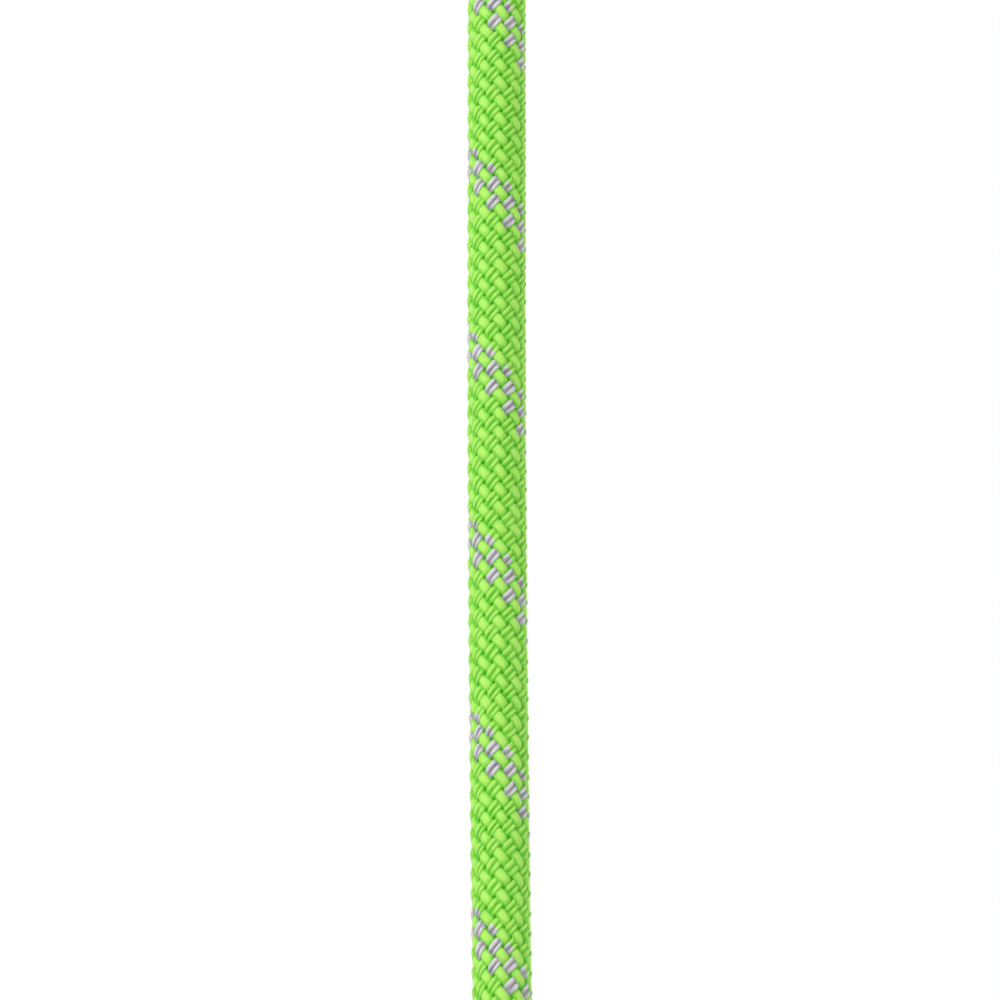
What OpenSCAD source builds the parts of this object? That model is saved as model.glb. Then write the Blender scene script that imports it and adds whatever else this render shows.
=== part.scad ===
// Dynamic climbing rope, put away as a tied hank that hangs by its top eye from a peg.
// One end hangs straight down below the hank, and the other ties the waist and drops through the eye.

/* [Rope] */
// Rope diameter
rope_d = 9.8; // [9:0.1:10.6]
// Thickness of the woven sheath
sheath_wall = 1.1; // [0.9:0.1:1.4]
// Free space between neighbouring core strands
strand_play = 0.05; // [0.03:0.01:0.1]

/* [Rope ends] */
// Length of the end that hangs below the last bend
hanging_length = 364; // [300:2:400]
// Straight run of the last turn below its bend, before the open end
exit_run = 40; // [30:2:60]
// Length of the sleeve shrunk onto each end
sleeve_length = 32; // [20:1:45]
// Wall of the shrunk sleeve
sleeve_wall = 0.4; // [0.3:0.05:0.6]
// Free space between the sleeve and what it holds
sleeve_play = 0.03; // [0.02:0.01:0.06]
// How far the sleeve stays below the surface of the rope
sleeve_step = 0.05; // [0.03:0.01:0.1]
// Thickness of the melted tip that closes the rope
tip_length = 3; // [2:0.5:5]
// Radius of the melted tip's domed face
tip_dome_r = 12; // [9:0.5:20]

/* [Hank] */
// Places for turns round the outer layer of each limb
outer_slots = 20; // [18:1:20]
// Free space between neighbouring turns
turn_gap = 1; // [0.8:0.1:1.3]
// Free space between the outer turns and the turns inside them
layer_gap = 0.6; // [0.5:0.1:0.9]
// Radius of the tightest fold, to the middle of the rope
fold_r = 29.4; // [28:0.2:33]
// Straight run between the top bend and the bottom bend
run_length = 454; // [440:2:500]

/* [Waist] */
// Run between the top bend and the place where the limbs start to close in
eye_run = 5; // [2:1:15]
// Length over which the limbs close in on each other
taper_length = 90; // [85:1:100]
// Free space between the two limbs at the waist
limb_gap = 0.6; // [0.5:0.1:1.2]
// Turns of the rope round the waist
wrap_turns = 4; // [3:1:4]
// Free space between the wraps and the limbs
wrap_gap = 0.4; // [0.3:0.1:0.8]
// Radius at which the rope turns from along the limb to round the waist
wrap_turn_r = 24.5; // [22:0.5:28]
// Rise over which the rope lifts out of the outer layer before it turns
lift_rise = 20; // [18:1:26]
// Space between the top wrap and the upper end of the waist
wrap_margin = 2; // [1:0.5:4]

/* [Hidden] */
STRANDS = [for (i = [1:12]) str("core_strand_", i)];
$fn = 96;
sheath_green = [0.45, 0.80, 0.20];
core_white = [0.94, 0.93, 0.89];
sleeve_black = [0.10, 0.10, 0.11];
tip_green = [0.30, 0.55, 0.14];

// Rope
rope_r = rope_d / 2;
bore_r = rope_r - sheath_wall;
neck_r = rope_r - sleeve_step - sleeve_wall;
held_r = neck_r - sleeve_play;

// Core: three strands inside a ring of nine. unit_r is a strand's radius with half its play.
inner_strands = 3;
outer_strands = 9;
inner_ratio = 1 / sin(180 / inner_strands);
lag = 180 / outer_strands;
ring_ratio = inner_ratio * cos(lag) + sqrt(4 - pow(inner_ratio * sin(lag), 2));
unit_r = bore_r / (1 + ring_ratio);
strand_r = unit_r - strand_play / 2;

// Hank: limbs of turns round a middle line, and the heights down the hank from the eye's inside.
// A lap has steps in its runs and in its two bends, and the hanging end leaves at exit_step.
turn_sides = 6;
core_sides = 16;
bend_step = 30;
run_steps = 10;
steps = run_steps + 2 * (180 / bend_step + 1);
exit_step = 3;
slot_step = 360 / outer_slots;
slot_r = (rope_d + turn_gap) / (2 * sin(slot_step / 2));
limb_r = slot_r + rope_r;
core_r = slot_r - rope_r - layer_gap;
limb_x = fold_r + slot_r;
waist_x = limb_r + limb_gap / 2;
top_z = -(fold_r - rope_r);
eye_z = top_z - eye_run;
waist_top_z = eye_z - taper_length;
bottom_z = top_z - run_length;

// Wraps: belt_r is the wraps' middle line from a limb's middle, measured at the corners of its steps
belt_step = 22.5;
belt_r = (limb_r + wrap_gap + rope_r) / cos(belt_step / 2);
belt_arc = belt_r * PI;
belt_length = 2 * (belt_arc + 2 * waist_x);
wrap_pitch = rope_d + turn_gap;
wrap_end_x = rope_d - waist_x;
wrap_end_z = waist_top_z - wrap_margin - rope_r;
wrap_end_s = wrap_turns * belt_length + belt_arc / 2 + waist_x + wrap_end_x;
start_turn = outer_slots - 1;
start_angle = slot_step * (start_turn + exit_step / steps);
start_s = belt_r * (360 - start_angle) * PI / 180;
climb_s = start_s + wrap_turn_r;
wrap_first_z = wrap_end_z - wrap_pitch * (wrap_end_s - climb_s) / belt_length;
wrap_start_z = wrap_first_z - wrap_turn_r - lift_rise - rope_d;
waist_low_z = wrap_start_z - rope_d;
shoulder_z = waist_low_z - taper_length;
middle_z = (shoulder_z + bottom_z) / 2;

// Ends. The tucked end's route starts where the wraps end: across, back through the eye, and down.
hanging_x = -(limb_x + slot_r);
hanging_tip_z = bottom_z - hanging_length;
open_length = hanging_length - exit_run;
tuck_start = [wrap_end_x, -belt_r, wrap_end_z];
tuck_route = [
    [0, 0, 0], [7, 0, 1], [14, 2, 3], [20, 5, 7], [25, 10, 12], [28, 16, 17], [30, 23, 22],
    [30, 31, 25], [30, 39, 27], [30, 48, 27], [30, 57, 27], [30, 66, 27], [30, 76, 26],
    [30, 86, 23], [30, 94, 17], [30, 99, 9], [30, 102, 0], [30, 102, -12], [30, 102, -34],
    [30, 102, -56], [30, 102, -78], [30, 102, -100]
];
tuck_sides = 12;
tuck_tip = tuck_start + tuck_route[len(tuck_route) - 1] - [0, 0, sleeve_length];

// One lap of the limb's middle line as [x, z, direction of its outer side], from the left limb's
// waist down, round the bottom, up the right limb and over the top
function bend(z, from) =
    [for (a = [from:bend_step:from + 180]) [limb_x * cos(a), z + limb_x * sin(a), a]];
lap = concat(
    [[-waist_x, waist_low_z, 180], [-limb_x, shoulder_z, 180], [-limb_x, middle_z, 180]],
    bend(bottom_z, 180),
    [[limb_x, middle_z, 0], [limb_x, shoulder_z, 0], [waist_x, waist_low_z, 0]],
    [[waist_x, waist_top_z, 0], [limb_x, eye_z, 0]],
    bend(top_z, 0),
    [[-limb_x, eye_z, 180], [-waist_x, waist_top_z, 180]]
);

// A point at distance r and angle turn round the limb's middle line, at one step of the lap
function round_limb(step, r, turn) =
    let (s = lap[step % steps])
    [s[0] + r * cos(turn) * cos(s[2]), r * sin(turn), s[1] + r * cos(turn) * sin(s[2])];

// A ring of a tube whose middle lies in a slot of the limb
function slot_ring(step, turn, lift = 0) =
    let (middle = round_limb(step, slot_r, turn), centre = round_limb(step, 0, 0),
         out = (middle - centre) / slot_r,
         side = round_limb(step, 1, turn + 90) - centre)
    [for (j = [0:turn_sides - 1])
        let (a = -j * 360 / turn_sides)
        middle + [0, 0, lift] + rope_r * (cos(a) * out + sin(a) * side)];

// The outer turns move one slot further with each lap
function slot_turn(step) = start_angle - slot_step * step / steps;
last_step = start_turn * steps + exit_step;
outer_rings = concat(
    [slot_ring(0, slot_turn(0), rope_d)],
    [for (k = [0:last_step]) slot_ring(k, slot_turn(k))],
    [slot_ring(last_step, slot_turn(last_step), -exit_run)]
);
function middle_of(ring) = (ring[0] + ring[turn_sides / 2]) / 2;

// The least space between a tube's turns, on its middle line's points and the points halfway
function halfway(points) =
    [for (i = [0:len(points) - 2]) each [points[i], (points[i] + points[i + 1]) / 2]];
function least_gap(points, apart) =
    min([for (i = [0:len(points) - 1 - apart], j = [i + apart:len(points) - 1])
        norm(points[i] - points[j])]) - rope_d;

// The wraps' line round the waist as [x, y, direction of its outer side], s along it from the
// left limb's outermost point towards the front
function belt(s) =
    let (t = (s + belt_arc / 2) % belt_length, half = belt_length / 2, u = t % half,
         flip = t < half ? -1 : 1,
         a = (t < half ? 90 : 270) + min(u / belt_arc, 1) * 180,
         along = max(u - belt_arc, 0))
    [flip * waist_x - flip * along + belt_r * cos(a), belt_r * sin(a), a];

// A ring of the wraps at s and height z, at radius r from the limb, heading up at pitch 0 and
// along the belt at pitch 90
function belt_ring(s, z, r, pitch) =
    let (p = belt(s), out = [cos(p[2]), sin(p[2]), 0], along = [-sin(p[2]), cos(p[2]), 0],
         side = cos(pitch) * along - [0, 0, sin(pitch)],
         middle = [p[0], p[1], z] + (r - belt_r) * out)
    [for (j = [0:turn_sides - 1])
        let (a = -j * 360 / turn_sides) middle + rope_r * (cos(a) * out + sin(a) * side)];

function ease(t) = let (u = max(0, min(1, t))) u * u * (3 - 2 * u);
function lifted(rise) = slot_r + (belt_r - slot_r) * ease(rise / (lift_rise + wrap_turn_r / 2));

// Places along the belt where its arcs step and its straights are divided in four
belt_steps = [for (k = [0:wrap_turns], q = [0:1])
    let (from = k * belt_length + q * belt_length / 2 - belt_arc / 2)
    each concat([for (a = [0:belt_step:180]) from + a / 180 * belt_arc],
                [for (i = [1:3]) from + belt_arc + i * waist_x / 2])];
wrap_rings = concat(
    [for (rise = [-rope_d, 0, lift_rise / 2])
        belt_ring(start_s, wrap_start_z + rope_d + rise, lifted(rise), 0)],
    [for (a = [0:belt_step:90])
        let (rise = lift_rise + wrap_turn_r * sin(a))
        belt_ring(start_s + wrap_turn_r * (1 - cos(a)), wrap_start_z + rope_d + rise, lifted(rise), a)],
    [for (s = belt_steps)
        if (s > climb_s + rope_r && s < wrap_end_s - rope_r)
            belt_ring(s, wrap_first_z + wrap_pitch * (s - climb_s) / belt_length, belt_r, 90)],
    [belt_ring(wrap_end_s, wrap_end_z, belt_r, 90)]
);

// A tube's skin through its rings, capped at both ends or joined into a loop. Each ring runs
// clockwise, seen along the tube's way.
module skin(rings, loop = false) {
    sides = len(rings[0]);
    count = len(rings);
    last = (count - 1) * sides;
    polyhedron(
        points = [for (r = rings) each r],
        faces = concat(
            [for (i = [0:count - (loop ? 1 : 2)], j = [0:sides - 1])
                let (a = i * sides + j, b = i * sides + (j + 1) % sides,
                     c = (b + sides) % (count * sides), d = (a + sides) % (count * sides))
                each [[a, b, c], [a, c, d]]],
            loop ? [] : [for (j = [1:sides - 2]) [0, j + 1, j]],
            loop ? [] : [for (j = [1:sides - 2]) [last, last + j, last + j + 1]]
        )
    );
}

// The turns inside the outer layer, as one plain core
module hank_inner_turns() {
    color(sheath_green)
        skin([for (k = [0:steps - 1])
            [for (j = [0:core_sides - 1]) round_limb(k, core_r, -j * 360 / core_sides)]], loop = true);
}

// The outer layer of turns, one unbroken length from the wraps to the hanging end's open length
module hank_outer_turns() {
    echo(least_gap_of_the_outer_turns =
        least_gap(halfway([for (r = outer_rings) middle_of(r)]), steps / 2));
    color(sheath_green) skin(outer_rings);
}

// The rope's own turns that tie the waist
module waist_wraps() {
    echo(least_gap_of_the_wraps =
        least_gap(halfway([for (r = wrap_rings) middle_of(r)]), steps / 2));
    color(sheath_green) skin(wrap_rings);
}

// The tucked end's free stretch, necked down inside its sleeve
tuck_points = [for (p = tuck_route) tuck_start + p];
tuck_last = len(tuck_points) - 1;
tuck_neck_z = tuck_tip.z + tip_length;
function tuck_way(i) =
    i == 0 ? [1, 0, 0] : i == tuck_last ? [0, 0, -1] :
    (tuck_points[i + 1] - tuck_points[i - 1]) / norm(tuck_points[i + 1] - tuck_points[i - 1]);
function tuck_ring(at, way, r) =
    let (across = cross([1, -1, 1], way), side = across / norm(across), other = cross(way, side))
    [for (j = [0:tuck_sides - 1])
        let (a = -j * 360 / tuck_sides) at + r * (cos(a) * side + sin(a) * other)];
module tucked_end() {
    mouth = tuck_points[tuck_last];
    color(sheath_green)
        skin(concat(
            [for (i = [0:tuck_last]) tuck_ring(tuck_points[i], tuck_way(i), rope_r)],
            [tuck_ring(mouth, [0, 0, -1], held_r),
             tuck_ring([mouth.x, mouth.y, tuck_neck_z], [0, 0, -1], held_r)]
        ));
}

// The woven sheath of the hanging end, from the last turn down to the melted tip
module hanging_end_sheath() {
    color(sheath_green)
        translate([hanging_x, 0, hanging_tip_z])
            rotate_extrude()
                polygon([[bore_r, tip_length], [held_r, tip_length], [held_r, sleeve_length],
                         [rope_r, sleeve_length], [rope_r, open_length], [bore_r, open_length]]);
}

// Strand number i of the hanging end's core: the first three inside, then the ring of nine
function strand_place(i) =
    i <= inner_strands
        ? let (a = 360 * (i - 1) / inner_strands) unit_r * inner_ratio * [cos(a), sin(a)]
        : let (a = 360 * (i - inner_strands - 0.5) / outer_strands) unit_r * ring_ratio * [cos(a), sin(a)];
module core_strand(i) {
    at = strand_place(i);
    color(core_white)
        translate([hanging_x + at.x, at.y, hanging_tip_z + tip_length])
            cylinder(r = strand_r, h = open_length - tip_length);
}

// The plastic sleeve shrunk onto an end, and the melted tip that closes the rope
module end_sleeve(at) {
    color(sleeve_black)
        translate(at)
            rotate_extrude()
                polygon([[neck_r, 0], [neck_r + sleeve_wall, 0],
                         [neck_r + sleeve_wall, sleeve_length], [neck_r, sleeve_length]]);
}
module melted_tip(at) {
    dome = tip_dome_r - sqrt(pow(tip_dome_r, 2) - pow(held_r, 2));
    color(tip_green)
        translate(at)
            intersection() {
                translate([0, 0, -dome]) cylinder(r = held_r, h = tip_length + dome);
                translate([0, 0, tip_dome_r - dome]) sphere(r = tip_dome_r);
            }
}
module hanging_end_sleeve() end_sleeve([hanging_x, 0, hanging_tip_z]);
module hanging_end_tip() melted_tip([hanging_x, 0, hanging_tip_z]);
module tucked_end_sleeve() end_sleeve(tuck_tip);
module tucked_end_tip() melted_tip(tuck_tip);

hank_inner_turns();
hank_outer_turns();
waist_wraps();
tucked_end();
hanging_end_sheath();
for (i = [1:len(STRANDS)]) core_strand(i);
hanging_end_sleeve();
hanging_end_tip();
tucked_end_sleeve();
tucked_end_tip();
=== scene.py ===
import math

import bmesh
import bpy
import numpy as np
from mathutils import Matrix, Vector


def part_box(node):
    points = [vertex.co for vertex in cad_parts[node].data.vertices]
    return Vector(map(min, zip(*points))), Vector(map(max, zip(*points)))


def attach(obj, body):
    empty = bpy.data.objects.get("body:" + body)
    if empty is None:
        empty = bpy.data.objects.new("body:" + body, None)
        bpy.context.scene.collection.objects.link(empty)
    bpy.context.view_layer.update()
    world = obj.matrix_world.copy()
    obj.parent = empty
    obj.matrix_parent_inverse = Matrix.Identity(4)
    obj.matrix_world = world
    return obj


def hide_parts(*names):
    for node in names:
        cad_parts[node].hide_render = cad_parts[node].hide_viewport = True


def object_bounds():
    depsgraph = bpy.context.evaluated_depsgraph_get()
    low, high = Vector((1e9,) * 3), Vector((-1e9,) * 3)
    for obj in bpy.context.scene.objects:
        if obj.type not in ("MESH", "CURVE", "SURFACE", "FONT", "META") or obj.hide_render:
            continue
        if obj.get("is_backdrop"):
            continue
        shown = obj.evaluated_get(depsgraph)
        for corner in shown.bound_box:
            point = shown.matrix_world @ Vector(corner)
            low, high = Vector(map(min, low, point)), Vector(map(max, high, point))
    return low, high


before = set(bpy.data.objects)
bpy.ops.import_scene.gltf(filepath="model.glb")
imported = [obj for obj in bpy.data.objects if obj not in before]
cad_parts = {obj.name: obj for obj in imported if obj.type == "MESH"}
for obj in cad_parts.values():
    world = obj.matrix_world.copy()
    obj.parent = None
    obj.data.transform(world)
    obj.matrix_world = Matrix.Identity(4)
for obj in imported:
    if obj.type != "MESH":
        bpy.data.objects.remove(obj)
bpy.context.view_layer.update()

# Camera. It stands in front of the hanging end and looks up at it through a long lens, so that
# the hank above and the sleeve below stay outside the picture.
open_low, open_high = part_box("hanging_end_sheath")
hanging_x = (open_low.x + open_high.x) / 2
exit_z = open_high.z
lean_left = 0.00108
aim_right = 0.000535
aim_z = -0.708
picture_width = 0.1647
camera_distance = 2.4
camera_tilt = math.radians(25)
aim = Vector((hanging_x - lean_left + aim_right, 0, aim_z))
view_way = Vector((0, math.cos(camera_tilt), math.sin(camera_tilt)))
camera = bpy.data.objects.new("camera", bpy.data.cameras.new("camera"))
camera.data.lens = camera.data.sensor_width * camera_distance / picture_width
camera.location = aim - camera_distance * view_way
camera.rotation_euler = (math.radians(90) + camera_tilt, 0, 0)
bpy.context.scene.collection.objects.link(camera)
bpy.context.scene.camera = camera

# Sheath. The rope's woven cover of plied polyamide yarn has 20 yarns each way, in pairs that pass
# over one pair and under the next. It is dyed lime green, but for five pale yarns side by side
# that wind round the rope. Its colour is painted darker and deeper lower down in the weave, as
# painted shade.
columns = 10
pale_pairs = 2.5
green_in_painted_shade = (0.12, 0.64, 0.028, 1)
green_light = (0.51, 0.97, 0.165, 1)
pale_in_painted_shade = (0.27, 0.26, 0.28, 1)
pale_light = (0.81, 0.78, 0.82, 1)
shade_power = 2.6
shade_share = 1.05
shade_lift = 0.12
fibres_across = 9
fibres_along = 1.2
fibre_contrast = 1.6
fibre_height = 0.08
patch_scale = 0.7
patch_contrast = 0.8
owner_reach = 0.4

# The relief where a pair is on top, with heights in millimetres and places in pairs: first for
# the pairs that run down to the right, then for the others. Ridges lie across a pair, two on the
# first kind and one on the second. end_dive is the share of a ridge's height that is gone at its
# ends, and the slopes tilt a whole top. The crown is the height at the rope's full radius.
ridge_height = (0.38, 0.34)
ridge_at = (0.25, 0.0)
ridge_width = (0.175, 0.36)
end_dive = 0.45
round_height = (0.14, 0.19)
round_reach = (0.50, 0.55)
round_power = (1.9, 2.0)
slope_across = (-0.16, 0.0)
slope_along = (-0.15, -0.08)
seam = (0.36, 0.40)
gap_height = -0.22
crown = 0.53


def nearest(value):
    return value + 0.5 - (value + 0.5) % 1


def weave(p, q):
    """The weave's height at p, counted in pairs that run down to the right, and q, counted in the
    others. Also gives 1 or 0 for where each kind is on top, and for where the crossing is one that
    the second kind passes over. Takes numbers or shader values."""
    near_p = nearest(p)
    near_q = nearest(q)
    off_p = p - near_p
    off_q = q - near_q
    odd = (near_p + near_q) % 2
    in_p = (abs(off_p) < seam[1]) * 1.0
    in_q = (abs(off_q) < seam[0]) * 1.0
    tops = (in_q * (1 - odd * in_p), in_p * (1 - (1 - odd) * in_q))
    from_p = off_p - odd * ((off_p > 0) * 2 - 1)
    from_q = off_q - (1 - odd) * ((off_q > 0) * 2 - 1)
    height = (1 - tops[0] - tops[1]) * gap_height
    for k, (across, along) in enumerate(((off_q, from_p), (off_p, from_q))):
        share = abs(along) / round_reach[k]
        share = share - (share > 1) * (share - 1)
        rounded = (1 - share ** round_power[k]) ** (1 / round_power[k])
        ridge = 1 - ((abs(across) - ridge_at[k]) / ridge_width[k]) ** 2
        ridge = (ridge * (ridge > 0)) ** 0.5 * ridge_height[k]
        ridge = ridge * (1 - end_dive + end_dive * rounded)
        slope = across * slope_across[k] + along * slope_along[k]
        height = height + tops[k] * (ridge + rounded * round_height[k] + slope)
    return height, tops, odd


class Value:
    """A value in a material's nodes. Sums on it add Math nodes, and add() makes any other node."""

    def __init__(self, tree, socket=None):
        self.tree = tree
        self.socket = socket

    def add(self, kind, settings=None, inputs=None, output=0):
        node = self.tree.nodes.new("ShaderNode" + kind)
        for name, value in (settings or {}).items():
            setattr(node, name, value)
        for key, value in (inputs or {}).items():
            if isinstance(value, Value):
                self.tree.links.new(value.socket, node.inputs[key])
            else:
                node.inputs[key].default_value = value
        return Value(self.tree, node.outputs[output])

    def other(self, output):
        """Another output of the same node."""
        return Value(self.tree, self.socket.node.outputs[output])

    def maths(self, operation, *values):
        return self.add("Math", {"operation": operation}, dict(enumerate(values)))

    def __add__(self, other):
        return self.maths("ADD", self, other)

    def __radd__(self, other):
        return self.maths("ADD", other, self)

    def __sub__(self, other):
        return self.maths("SUBTRACT", self, other)

    def __rsub__(self, other):
        return self.maths("SUBTRACT", other, self)

    def __mul__(self, other):
        return self.maths("MULTIPLY", self, other)

    def __rmul__(self, other):
        return self.maths("MULTIPLY", other, self)

    def __truediv__(self, other):
        return self.maths("DIVIDE", self, other)

    def __pow__(self, other):
        return self.maths("POWER", self, other)

    def __mod__(self, other):
        return self.maths("FLOORED_MODULO", self, other)

    def __lt__(self, other):
        return self.maths("LESS_THAN", self, other)

    def __gt__(self, other):
        return self.maths("GREATER_THAN", self, other)

    def __abs__(self):
        return self.maths("ABSOLUTE", self)


def blend(share, first, second):
    """A colour between two others."""
    share = share.add("Clamp", None, {0: share})
    return share.add("Mix", {"data_type": "RGBA"}, {0: share, 6: first, 7: second}, 2)


def new_material(name, roughness):
    """A new material, with its shader and a value to build sums on."""
    material = bpy.data.materials.new(name)
    material.use_nodes = True
    shader = material.node_tree.nodes["Principled BSDF"]
    shader.inputs["Roughness"].default_value = roughness
    return material, shader, Value(material.node_tree)


def finish_surface(shader, colour, height, depth):
    """Link a colour, and a relief whose height of 1 stands depth metres out of the surface."""
    links = shader.id_data.links
    links.new(colour.socket, shader.inputs["Base Color"])
    bump = height.add("Bump", None, {"Height": height, "Distance": depth, "Strength": 1.0})
    links.new(bump.socket, shader.inputs["Normal"])


def sheath_material(name, relief_share):
    """Woven yarn. relief_share says how much of the weave's relief the shading has to make."""
    material, shader, nodes = new_material(name, 0.62)
    lay = nodes.add("UVMap", {"uv_map": "lay"})
    column = lay.add("SeparateXYZ", None, {0: lay})
    row = column.other(1)
    p = row - column
    q = row + column
    height, tops, odd = weave(p, q)
    across = (tops[0] * q + tops[1] * p) * fibres_across
    along = (tops[0] * p + tops[1] * q) * fibres_along
    run = nodes.add("CombineXYZ", None, {0: across, 1: along, 2: tops[0] * 7})
    fibres = run.add("TexNoise", None, {"Vector": run, "Scale": 1.0, "Detail": 3.0, "Roughness": 0.6})
    spot = nodes.add("CombineXYZ", None, {0: column * patch_scale, 1: row * patch_scale})
    patches = spot.add("TexNoise", None, {"Vector": spot, "Scale": 1.0, "Detail": 2.0})
    # Painted shade: the lower the weave lies, the darker and deeper the colour, standing in for the shade
    # in its gaps. The fibres and patches add the yarn's own random tone.
    depth = (height - gap_height) / (crown - gap_height)
    light = depth ** shade_power * shade_share + shade_lift
    light = light + (fibres - 0.5) * fibre_contrast + (patches - 0.5) * patch_contrast
    green = blend(light, green_in_painted_shade, green_light)
    pale = blend(light, pale_in_painted_shade, pale_light)
    # Past a seam the next pair's end shows, and it keeps the colour of the pair it belongs to
    owner = p + odd * (p - nearest(p)) * owner_reach
    tracer = tops[0] * ((owner + 1) % columns < pale_pairs)
    relief = fibres * fibre_height + height * relief_share
    finish_surface(shader, blend(tracer, green, pale), relief, 0.001)
    shader.inputs["Specular IOR Level"].default_value = 0.12
    shader.inputs["Sheen Weight"].default_value = 0.03
    return material


# Hank. The rope's own length, laid up in laps round two limbs and tied at the waist with its
# last turns, whose end drops through the eye. All of it is one unbroken rope. Its sizes are
# those of the part's source, in metres.
rope_d = 0.0098
rope_r = rope_d / 2
outer_slots = 20
turn_gap = 0.001
fold_r = 0.0294
run_length = 0.454
eye_run = 0.005
taper_length = 0.090
limb_gap = 0.0006
wrap_turns = 4
wrap_gap = 0.0004
wrap_turn_r = 0.0245
lift_rise = 0.020
wrap_margin = 0.002
sleeve_length = 0.032
tip_length = 0.003
neck_r = 0.00442

# One lap has 24 steps, six of them in each of its two bends. The hanging end leaves the last
# lap where the low bend would start.
steps = 24
bend_steps = 6
low_bend = 3
top_bend = 15
bend_step = 180 / bend_steps
slot_step = 360 / outer_slots
slot_r = (rope_d + turn_gap) / (2 * math.sin(math.radians(slot_step / 2)))
limb_r = slot_r + rope_r
limb_x = fold_r + slot_r
waist_x = limb_r + limb_gap / 2
top_z = rope_r - fold_r
eye_z = top_z - eye_run
waist_top_z = eye_z - taper_length
bottom_z = top_z - run_length
belt_step = 22.5
belt_r = (limb_r + wrap_gap + rope_r) / math.cos(math.radians(belt_step / 2))
belt_arc = belt_r * math.pi
belt_length = 2 * (belt_arc + 2 * waist_x)
wrap_pitch = rope_d + turn_gap
wrap_end = Vector((rope_d - waist_x, -belt_r, waist_top_z - wrap_margin - rope_r))
wrap_end_s = wrap_turns * belt_length + belt_arc / 2 + waist_x + wrap_end.x
start_angle = slot_step * (outer_slots - 1 + low_bend / steps)
start_s = belt_r * math.radians(360 - start_angle)
climb_s = start_s + wrap_turn_r
wrap_first_z = wrap_end.z - wrap_pitch * (wrap_end_s - climb_s) / belt_length
wrap_start_z = wrap_first_z - wrap_turn_r - lift_rise - rope_d
waist_low_z = wrap_start_z - rope_d
shoulder_z = waist_low_z - taper_length
middle_z = (shoulder_z + bottom_z) / 2

# The tucked end's route from the end of the wraps: across, back through the eye, and down
tuck_route = 0.001 * np.array([
    [0, 0, 0], [7, 0, 1], [14, 2, 3], [20, 5, 7], [25, 10, 12], [28, 16, 17], [30, 23, 22],
    [30, 31, 25], [30, 39, 27], [30, 48, 27], [30, 57, 27], [30, 66, 27], [30, 76, 26],
    [30, 86, 23], [30, 94, 17], [30, 99, 9], [30, 102, 0], [30, 102, -12], [30, 102, -34],
    [30, 102, -56], [30, 102, -78], [30, 102, -100]])


def ease(t):
    t = np.clip(t, 0, 1)
    return t * t * (3 - 2 * t)


def polar(angle):
    """Cosine and sine of an angle in degrees."""
    return np.cos(np.radians(angle)), np.sin(np.radians(angle))


def rope_spline(points, parts):
    """Points on a smooth curve through the given ones."""
    ends = np.concatenate([[2 * points[0] - points[1]], points, [2 * points[-1] - points[-2]]])
    a, b, c, d = (ends[i:len(ends) - 3 + i, None] for i in range(4))
    t = (np.arange(parts) / parts)[None, :, None]
    curve = (2 * b + (c - a) * t + (2 * a - 5 * b + 4 * c - d) * t ** 2
             + (3 * b - a - 3 * c + d) * t ** 3) / 2
    return np.concatenate([curve.reshape(-1, 3), points[-1:]])


tuck = rope_spline(np.array(wrap_end) + tuck_route, 8)
tuck_tip = tuck[-1] - [0, 0, sleeve_length - tip_length]
tuck = np.concatenate([tuck, [tuck_tip]])[::-1]


def belt(s, radius):
    """Points round the waist, s along it from the left limb's outermost point to the front."""
    t = np.mod(s + belt_arc / 2, belt_length)
    u = np.mod(t, belt_length / 2)
    first = t < belt_length / 2
    cos_a, sin_a = polar(np.where(first, 90, 270) + np.minimum(u / belt_arc, 1) * 180)
    x = np.where(first, -1, 1) * (waist_x - np.maximum(u - belt_arc, 0)) + radius * cos_a
    return x, radius * sin_a


# The wraps climb round the waist from the place where the rope lifts out of the outer layer
lift_points = 12
turn_points = 24
climb_points = 600
rise = np.linspace(0, lift_rise, lift_points)
quarter_cos, quarter_sin = polar(np.linspace(0, 90, turn_points)[1:])
lift = np.concatenate([rise, lift_rise + wrap_turn_r * quarter_sin])
climb = np.linspace(climb_s, wrap_end_s - rope_r, climb_points)[1:]
turned_s = start_s + wrap_turn_r * (1 - quarter_cos)
lifted_r = slot_r + (belt_r - slot_r) * ease(lift / (lift_rise + wrap_turn_r / 2))
wrap_s = np.concatenate([np.full(lift_points, start_s), turned_s, climb])
wrap_r = np.concatenate([lifted_r, np.full(len(climb), belt_r)])
wrap_z = np.concatenate([wrap_start_z + rope_d + lift,
                         wrap_first_z + wrap_pitch * (climb - climb_s) / belt_length])
wraps = np.column_stack([*belt(wrap_s, wrap_r), wrap_z])[::-1]

# At each step of a lap, the limb's middle line has a place and a direction that faces away from
# the other limb
step_at = np.array([0, 1, 2, 3, 9, 10, 11, 12, 13, 14, 15, 21, 22, 23, 24])
step_x = np.array([-waist_x, -limb_x, -limb_x, -limb_x, limb_x, limb_x, limb_x, waist_x, waist_x,
                   limb_x, limb_x, -limb_x, -limb_x, -waist_x, -waist_x])
step_z = np.array([waist_low_z, shoulder_z, middle_z, bottom_z, bottom_z, middle_z, shoulder_z,
                   waist_low_z, waist_top_z, eye_z, top_z, top_z, eye_z, waist_top_z, waist_low_z])


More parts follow.
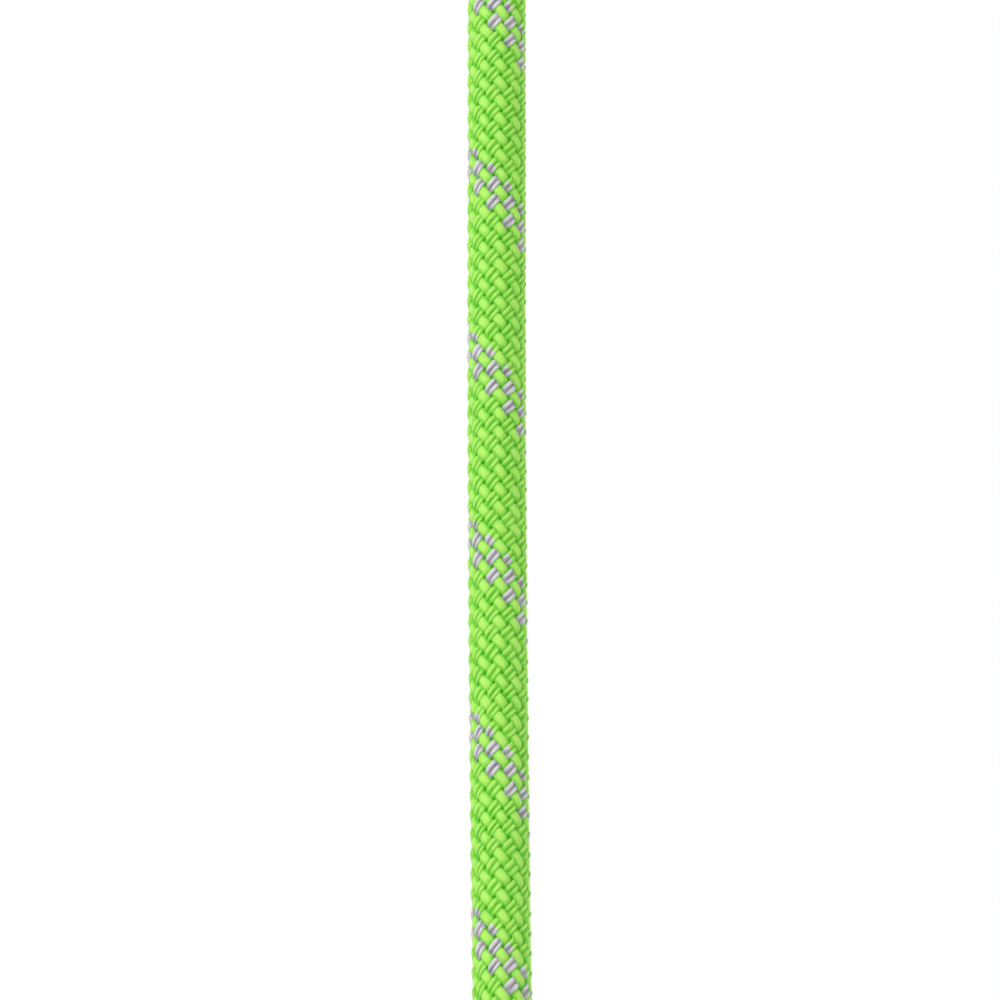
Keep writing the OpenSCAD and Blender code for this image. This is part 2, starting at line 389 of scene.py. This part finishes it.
def round_limb(step, radius, turn):
    """Points at a distance and an angle round the limb's middle line, at steps of the lap."""
    step = np.mod(step, steps)
    at = np.clip(np.searchsorted(step_at, step, side="right") - 1, 0, len(step_at) - 2)
    share = (step - step_at[at]) / (step_at[at + 1] - step_at[at])
    x = step_x[at] + (step_x[at + 1] - step_x[at]) * ease(share)
    z = step_z[at] + (step_z[at + 1] - step_z[at]) * share
    low = (step > low_bend) & (step < low_bend + bend_steps)
    top = (step > top_bend) & (step < top_bend + bend_steps)
    bent = np.clip(step - low_bend, 0, bend_steps) + np.clip(step - top_bend, 0, bend_steps)
    cos_f, sin_f = polar(180 + bend_step * bent)
    x = np.where(low | top, limb_x * cos_f, x)
    z = np.where(low, bottom_z + limb_x * sin_f, np.where(top, top_z + limb_x * sin_f, z))
    cos_t, sin_t = polar(turn)
    return np.stack([x + radius * cos_t * cos_f, radius * sin_t, z + radius * cos_t * sin_f], -1)


# The outer laps move one slot on with each lap. Halfway through them the rope goes inside, where
# it fills three more rings round the limb's middle and comes back out. It changes rings in the
# waist, where the stretches that go in and out step aside for each other.
last_step = (outer_slots - 1) * steps + low_bend
inward_step = 9 * steps - 0.5
inward_lap = inward_step / steps
inward_angle = start_angle - slot_step * inward_lap
inward_shift = 13
ring_laps = np.array([0, 7, 11, 13, 17, 24])
rings_passed = np.array([0, 1, 2, 3, 2, 1, 0])
turns_done = np.concatenate([[0], np.cumsum([180, 180, 360, 180, 180])])
ring_r = slot_r - rope_d * np.arange(4)
swap_laps = 0.012
side_step = rope_r * 1.1
fine_step = 0.05
outer_in = np.arange(0, inward_step, fine_step) / steps
inner = np.arange(0, ring_laps[-1], fine_step / steps)
outer_out = np.arange(inward_step, last_step, fine_step) / steps
lap = np.concatenate([outer_in, inward_lap + inner, outer_out + ring_laps[-1]])
turn = np.concatenate([start_angle - slot_step * outer_in,
                       inward_angle - inward_shift - np.interp(inner, ring_laps, turns_done),
                       start_angle - slot_step * outer_out - turns_done[-1]])
inside = lap - inward_lap
radius = np.full(len(lap), ring_r[0])
aside = np.zeros(len(lap))
for at, before, after in zip(ring_laps, rings_passed, rings_passed[1:]):
    radius += (ring_r[after] - ring_r[before]) * ease((inside - at) / (2 * swap_laps) + 0.5)
    aside += np.sign(after - before) * side_step * np.exp(-((inside - at) / swap_laps) ** 2)
laps = round_limb(lap * steps, radius, turn + np.degrees(aside / radius))
exit_point = np.array([hanging_x, 0, exit_z])


def even(points, gap):
    """The same line with its points a fixed gap apart."""
    along = np.concatenate([[0], np.cumsum(np.linalg.norm(np.diff(points, axis=0), axis=1))])
    at = np.linspace(0, along[-1], round(along[-1] / gap) + 1)
    return np.column_stack([np.interp(at, along, points[:, i]) for i in range(3)])


def blurred(points, weights):
    """The same line with its corners rounded by a running mean."""
    half = len(weights) // 2
    shares = weights / weights.sum()
    padded = np.pad(points, ((half, half), (0, 0)), "reflect", reflect_type="odd")
    return np.column_stack([np.convolve(padded[:, i], shares, "valid") for i in range(3)])


# The corners are rounded, and the laps lie a little unevenly, as hands leave them
fine_gap = 0.002
corner_reach = 8
corner_spread = 3
slack_gap = 0.11
slack_size = 0.0007
slack_blur = 35
laps_start = 2.4
slack_grows = 0.3
slack_fades = 0.2
taut_end = 0.08
route = even(np.concatenate([tuck, wraps, laps, [exit_point]]), fine_gap)
corner_at = np.arange(-corner_reach, corner_reach + 1)
route = blurred(route, np.exp(-(corner_at / corner_spread) ** 2 / 2))
chance = np.random.default_rng(7)
along = np.arange(len(route)) * fine_gap
slack_at = np.arange(0, along[-1] + slack_gap, slack_gap)
slack = chance.normal(0, slack_size, (len(slack_at), 3))
slack = np.column_stack([np.interp(along, slack_at, slack[:, i]) for i in range(3)])
slack = blurred(slack, np.hanning(slack_blur))
loose = ease((along - laps_start) / slack_grows) * ease((along[-1] - taut_end - along) / slack_fades)
route = even(route + slack * loose[:, None], fine_gap)
route[-1] = exit_point

# Rings stand close together in the bends and further apart on the runs
straight_ring_gap = 0.0128
bent_ring_gap = 0.0058
ring_gap_loss = 0.0005
bending_blur = 9
ways = np.gradient(route, axis=0)
ways /= np.linalg.norm(ways, axis=1)[:, None]
bending = np.linalg.norm(np.gradient(ways, axis=0), axis=1) / fine_gap
bending = np.convolve(bending, np.ones(bending_blur) / bending_blur, "same")
ring_gap = np.clip(straight_ring_gap - ring_gap_loss * bending, bent_ring_gap, straight_ring_gap)
ring_count = np.cumsum(fine_gap / ring_gap)
chosen = np.searchsorted(ring_count, np.arange(0, ring_count[-1], 1))
chosen = np.unique(np.concatenate([[0], chosen, [len(route) - 1]]))
centres = route[chosen]
lengths = chosen * fine_gap


def frames(points):
    """Two directions across a line at each point, which turn with it and never twist."""
    way = np.gradient(points, axis=0)
    way /= np.linalg.norm(way, axis=1)[:, None]
    side = np.cross(way[0], (0, 1, 0))
    sides = [side / np.linalg.norm(side)]
    for now in way[1:]:
        side = sides[-1] - now * np.dot(sides[-1], now)
        sides.append(side / np.linalg.norm(side))
    return np.array(sides), np.cross(way, sides)


def mesh_piece(name, points, faces, uvs, material):
    """A new piece with smooth faces. uvs holds the lay at each corner of each face."""
    mesh = bpy.data.meshes.new(name)
    mesh.from_pydata(points, [], faces)
    mesh.uv_layers.new(name="lay").data.foreach_set("uv", np.asarray(uvs, np.float32).ravel())
    mesh.polygons.foreach_set("use_smooth", np.ones(len(mesh.polygons), bool))
    mesh.materials.append(material)
    piece = bpy.data.objects.new(name, mesh)
    bpy.context.scene.collection.objects.link(piece)
    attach(piece, "root")
    return piece


def tube_piece(name, rings, lay, material, row_repeat=None):
    """A new piece: a tube through rings of points, closed at both ends. lay holds two numbers for
    each point, and for each ring's first point again, where the ring closes. The second number
    starts again after each row_repeat, if one is given."""
    count, sides = rings.shape[:2]
    grid = np.meshgrid(np.arange(count - 1), np.arange(sides), indexing="ij")
    ring, corner = (numbers.ravel() for numbers in grid)
    start = ring * sides
    following = (corner + 1) % sides
    quads = np.stack([start + corner, start + following,
                      start + sides + following, start + sides + corner], 1)
    uvs = np.stack([lay[ring, corner], lay[ring, corner + 1],
                    lay[ring + 1, corner + 1], lay[ring + 1, corner]], 1)
    if row_repeat:
        uvs[:, :, 1] -= uvs[:, :1, 1] - uvs[:, :1, 1] % row_repeat
    last_start = (count - 1) * sides
    caps = [list(range(sides))[::-1], list(range(last_start, last_start + sides))]
    cap_uvs = np.zeros(2 * 2 * sides)
    return mesh_piece(name, rings.reshape(-1, 3), quads.tolist() + caps,
                      np.concatenate([uvs.ravel(), cap_uvs]), material)


# Where the weave's rows and columns lie on the rope's free end. The stitches grow a little
# longer on the way down, and the columns wind slowly to the left.
stitch = 0.00341
first_stitch_z = -0.68605
front_column = -10.2
column_twist = -50
stitch_growth = 0.28
column_angle = 360 / columns
first_s = exit_z - first_stitch_z


def row_at(s):
    """Row of the weave at a distance below the place where the free end leaves the hank."""
    return np.log(1 + stitch_growth * (s - first_s)) / (stitch * stitch_growth)


def column_angle_at(s):
    """Angle in degrees of the first column, counted from the front to the right."""
    return front_column + column_twist * (s - first_s)


# The rope's skin on the hank is a plain tube, whose rows and columns meet the free end's
tube_sides = 14
tube_r = 0.00478
angles = np.arange(tube_sides) * 2 * math.pi / tube_sides
cos_ring = np.cos(angles)[None, :, None]
sin_ring = np.sin(angles)[None, :, None]
across, beside = frames(centres)
ring_radius = np.where(lengths < sleeve_length, neck_r, tube_r)[:, None, None]
skin = centres[:, None] + ring_radius * (cos_ring * across[:, None] + sin_ring * beside[:, None])
last_angle = math.degrees(math.atan2(across[-1, 0], -across[-1, 1]))
first_column = (last_angle - column_angle_at(0)) / column_angle
tube_columns = first_column - columns * np.arange(tube_sides + 1) / tube_sides
tube_rows = (lengths - lengths[-1]) / stitch + row_at(0)
lay = np.stack(np.broadcast_arrays(tube_columns[None, :], tube_rows[:, None]), -1)
repeats_kept = 10
hank = tube_piece("hank_rope", skin, lay, sheath_material("laid_sheath", 0.9), repeats_kept * columns)
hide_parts("hank_inner_turns", "hank_outer_turns", "waist_wraps", "tucked_end")

# Hanging end. The rope's free end, with every pair of its sheath's yarns in the mesh. The
# lattice that it is made on follows the pairs, so that their edges are edges of the mesh.
sheath_end_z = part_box("hanging_end_sleeve")[1].z
tip_top_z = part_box("hanging_end_tip")[1].z
drop = exit_z - sheath_end_z
spare = 0.005
relief_fade = 0.005
drift_right = 0.00074
drift_from_z = -0.681
drift_to_z = -0.784
drift_power = 1.65
lean_length = 0.085
ripples = 8
column_ripple = 0.02
length_ripple = 0.00004
seam_half = 0.01
path_points = 60


def cuts(k):
    """Where one pair is cut into strips, as shares of its width: on each side of its seam, and
    close together at its middle."""
    half = [0, 0.06, 0.11, 0.18, 0.28, seam[k] - seam_half, seam[k] + seam_half, 0.5]
    return np.array(half + [1 - share for share in half[-2:0:-1]])


def cut(line, k):
    """Where a line of the lattice lies, in pairs."""
    strips = cuts(k)
    return line // len(strips) + strips[line % len(strips)]


# m counts the lattice's points round the rope, and n down it. Every other point is left out, so
# that the faces are diamonds whose sides lie along the pairs.
per_pair = len(cuts(0))
around = 2 * columns * per_pair
n_low = math.floor(row_at(-spare)) * 2 * per_pair
n_high = math.ceil(row_at(drop + spare)) * 2 * per_pair
m, n = np.meshgrid(np.arange(around), np.arange(n_low, n_high + 1), indexing="ij")
used = (m + n) % 2 == 0
index = np.full(m.shape, -1)
index[used] = np.arange(used.sum())
m, n = m[used], n[used]
p, q = cut((n - m) // 2, 1), cut((n + m) // 2, 0)
height = weave(p, q)[0]
column, row = (q - p) / 2, (p + q) / 2
s = first_s + (np.exp(row * stitch * stitch_growth) - 1) / stitch_growth
for _ in range(ripples):
    turns_round = chance.integers(0, 4)
    rows_long = chance.uniform(3, 14)
    phase = chance.uniform(0, 6.28)
    ripple = np.sin(2 * math.pi * (turns_round * column / columns + row / rows_long) + phase)
    column = column + column_ripple * ripple
    s = s + length_ripple * ripple
facing = np.radians(column_angle_at(s) + column_angle * column)


def lean(s):
    """How far the end hangs to the right of the point where it leaves the hank."""
    share = (s - (exit_z - drift_from_z)) / (drift_from_z - drift_to_z)
    return drift_right * np.maximum(share, 0) ** drift_power - lean_left * ease(s / lean_length)


woven_r = rope_r + (height - crown) / 1000
out = tube_r + (woven_r - tube_r) * ease(s / relief_fade)
points = np.column_stack([hanging_x + lean(s) + out * np.sin(facing),
                          -out * np.cos(facing), exit_z - s])
m, n = np.meshgrid(np.arange(around), np.arange(n_low, n_high - 1), indexing="ij")
used = (m + n) % 2 == 0
m, n = m[used], n[used]
corner_m = np.stack([m, m - 1, m, m + 1], 1)
corner_n = np.stack([n, n + 1, n + 2, n + 1], 1)
quads = index[corner_m % around, corner_n - n_low]
corner_p = cut((corner_n - corner_m) // 2, 1)
corner_q = cut((corner_n + corner_m) // 2, 0)
lay = np.stack([(corner_q - corner_p) / 2, (corner_p + corner_q) / 2], -1)
sheath = mesh_piece("hanging_end", points, quads.tolist(), lay, sheath_material("woven_sheath", 0))

# Both ends are cut level and closed, and the lower one goes on as a neck inside the sleeve
work = bmesh.new()
work.from_mesh(sheath.data)


def rim_at(z, keep_above):
    """Cut the mesh level at z, and give the edges of the cut."""
    cut_parts = bmesh.ops.bisect_plane(
        work, geom=work.verts[:] + work.edges[:] + work.faces[:], plane_co=(0, 0, z),
        plane_no=(0, 0, 1), clear_outer=not keep_above, clear_inner=keep_above)["geom_cut"]
    return [part for part in cut_parts if isinstance(part, bmesh.types.BMEdge)]


def drawn_on(rim, place):
    """Carry a rim on to new places, and give its new edges."""
    new_parts = bmesh.ops.extrude_edge_only(work, edges=rim)["geom"]
    for part in new_parts:
        if isinstance(part, bmesh.types.BMVert):
            part.co = place(part.co)
    return [part for part in new_parts if isinstance(part, bmesh.types.BMEdge)]


def narrowed(point):
    """The place level with a point where the neck's surface is."""
    middle = Vector((hanging_x, 0, point.z))
    return middle + neck_r * (point - middle).normalized()


bmesh.ops.contextual_create(work, geom=rim_at(exit_z, False))
neck = drawn_on(rim_at(sheath_end_z, True), narrowed)
neck = drawn_on(neck, lambda point: Vector((point.x, point.y, tip_top_z)))
bmesh.ops.contextual_create(work, geom=neck)
work.to_mesh(sheath.data)
work.free()
down = np.linspace(0, exit_z - tip_top_z, path_points)
end_path = np.column_stack([hanging_x + lean(down), 0 * down, exit_z - down])
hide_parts("hanging_end_sheath")

# Core. Twelve strands of three-ply white polyamide yarn carry the load inside the sheath, three
# in the middle and nine round them. They lean with the sheath and show only where it is cut.
yarn_in_painted_shade = (0.60, 0.58, 0.52, 1)
yarn_light = (0.88, 0.87, 0.83, 1)
ply_length = 0.012
plies = 3
ply_groove = 0.16
strand_sides = 18
strand_rings = 240
strand_turn = np.arange(strand_sides + 1)[None, :] / strand_sides
for i in range(1, 13):
    name = f"core_strand_{i}"
    low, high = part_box(name)
    middle = (low + high) / 2
    strand_r = (high.x - low.x) / 2
    z = np.linspace(high.z, low.z, strand_rings)[:, None]
    twist = (exit_z - z) / ply_length
    turned = 2 * math.pi * strand_turn[:, :-1]
    ply = np.abs(np.cos(plies * math.pi * (strand_turn[:, :-1] + twist)))
    r = strand_r * (1 - ply_groove + ply_groove * ply)
    x = middle.x + lean(np.minimum(exit_z - z, drop)) + r * np.sin(turned)
    rings = np.stack([x, middle.y - r * np.cos(turned), z + 0 * r], -1)
    lay = np.stack(np.broadcast_arrays(strand_turn + twist, twist), -1)
    material, shader, nodes = new_material(f"twisted_{name}", 0.7)
    place = nodes.add("UVMap", {"uv_map": "lay"})
    across = place.add("SeparateXYZ", None, {0: place})
    ply = abs(across.maths("COSINE", across * (plies * math.pi)))
    run = across.add("CombineXYZ", None, {0: across * 40, 1: across.other(1) * 3, 2: float(i)})
    fibres = run.add("TexNoise", None, {"Vector": run, "Scale": 1.0, "Detail": 2.0})
    # Painted shade: the colour is darker in the grooves between the plies, with the fibres' own random
    # tone mixed in.
    finish_surface(shader, blend(ply * 0.7 + fibres * 0.3, yarn_in_painted_shade, yarn_light), fibres, 0.0001)
    strand = tube_piece(name + "_yarn", rings, lay, material)
    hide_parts(name)

# End sleeves. Black tube shrunk tight onto each end of the rope, so that the weave underneath
# shows through it as a faint relief.
sleeve_deep = (0.010, 0.010, 0.011, 1)
sleeve_light = (0.028, 0.028, 0.030, 1)
weave_shows = 0.25
grain_height = 0.06


def dress(name, material):
    """Give a CAD node its material."""
    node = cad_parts[name]
    node.data.materials.clear()
    node.data.materials.append(material)


for name in ("hanging_end_sleeve", "tucked_end_sleeve"):
    low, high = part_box(name)
    middle = (low + high) / 2
    material, shader, nodes = new_material(f"shrunk_{name}", 0.4)
    place = nodes.add("TexCoord", None, None, 3)
    place = place.add("VectorMath", {"operation": "SUBTRACT"}, {0: place, 1: (middle.x, middle.y, 0)})
    x = place.add("SeparateXYZ", None, {0: place})
    column = x.maths("ARCTAN2", x.other(1), x) * (columns / (2 * math.pi))
    row = x.other(2) / stitch
    relief = weave(row - column, row + column)[0] * weave_shows
    grain = place.add("TexNoise", None, {"Vector": place, "Scale": 2500.0, "Detail": 4.0})
    colour = blend(grain, sleeve_deep, sleeve_light)
    finish_surface(shader, colour, relief + grain * grain_height, 0.001)
    dress(name, material)

# Melted tips. Sheath and core are fused with heat at each end, which leaves a hard, glossy cap,
# darker than the yarn.
melt_deep = (0.02, 0.09, 0.008, 1)
melt_light = (0.12, 0.34, 0.045, 1)
material, shader, nodes = new_material("melted_yarn", 0.25)
place = nodes.add("TexCoord", None, None, 3)
flow = place.add("TexNoise", None, {"Vector": place, "Scale": 450.0, "Detail": 4.0, "Distortion": 0.6})
finish_surface(shader, blend(flow, melt_deep, melt_light), flow, 0.0004)
for name in ("hanging_end_tip", "tucked_end_tip"):
    dress(name, material)

# Floor, lamps and background. A pale floor far below, soft lamps at the upper left, from below
# at the right and behind, and an even white sky. A lamp's share is what it adds to a white
# surface that faces it.
floor_r = 3.5
floor_z = -2.2
lamp_distance = 2.3
sky_light = 0.6
bpy.ops.mesh.primitive_circle_add(vertices=96, radius=floor_r, fill_type="NGON", location=(0, 0, floor_z))
floor = bpy.context.object
floor.name = "floor"
floor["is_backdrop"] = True
material, shader, nodes = new_material("floor", 0.8)
shader.inputs["Base Color"].default_value = (0.8, 0.8, 0.8, 1)
floor.data.materials.append(material)
for name, azimuth, elevation, size, share in (
        ("key", -50, 32, 0.5, 0.45), ("fill", 42, -46, 0.8, 0.65), ("back", 150, 20, 1.0, 0.35)):
    lamp = bpy.data.objects.new(name, bpy.data.lights.new(name, "AREA"))
    lamp.data.size = size
    lamp.data.energy = share * (math.pi * lamp_distance) ** 2
    lamp.rotation_euler = (math.radians(90 - elevation), 0, math.radians(azimuth))
    lamp.location = aim + lamp_distance * (lamp.rotation_euler.to_matrix() @ Vector((0, 0, 1)))
    lamp.visible_camera = False
    bpy.context.scene.collection.objects.link(lamp)
world = bpy.data.worlds.new("sky")
bpy.context.scene.world = world
world.use_nodes = True
background = world.node_tree.nodes["Background"]
background.inputs["Color"].default_value = (1, 1, 1, 1)
ray = Value(world.node_tree).add("LightPath")
mirrored = ray.maths("MAXIMUM", ray.other("Is Glossy Ray"), ray.other("Is Transmission Ray"))
seen = ray.maths("MAXIMUM", ray, mirrored)
strength = seen * (1 - sky_light) + sky_light
world.node_tree.links.new(strength.socket, background.inputs["Strength"])
bpy.context.scene.view_settings.view_transform = "Standard"

low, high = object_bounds()
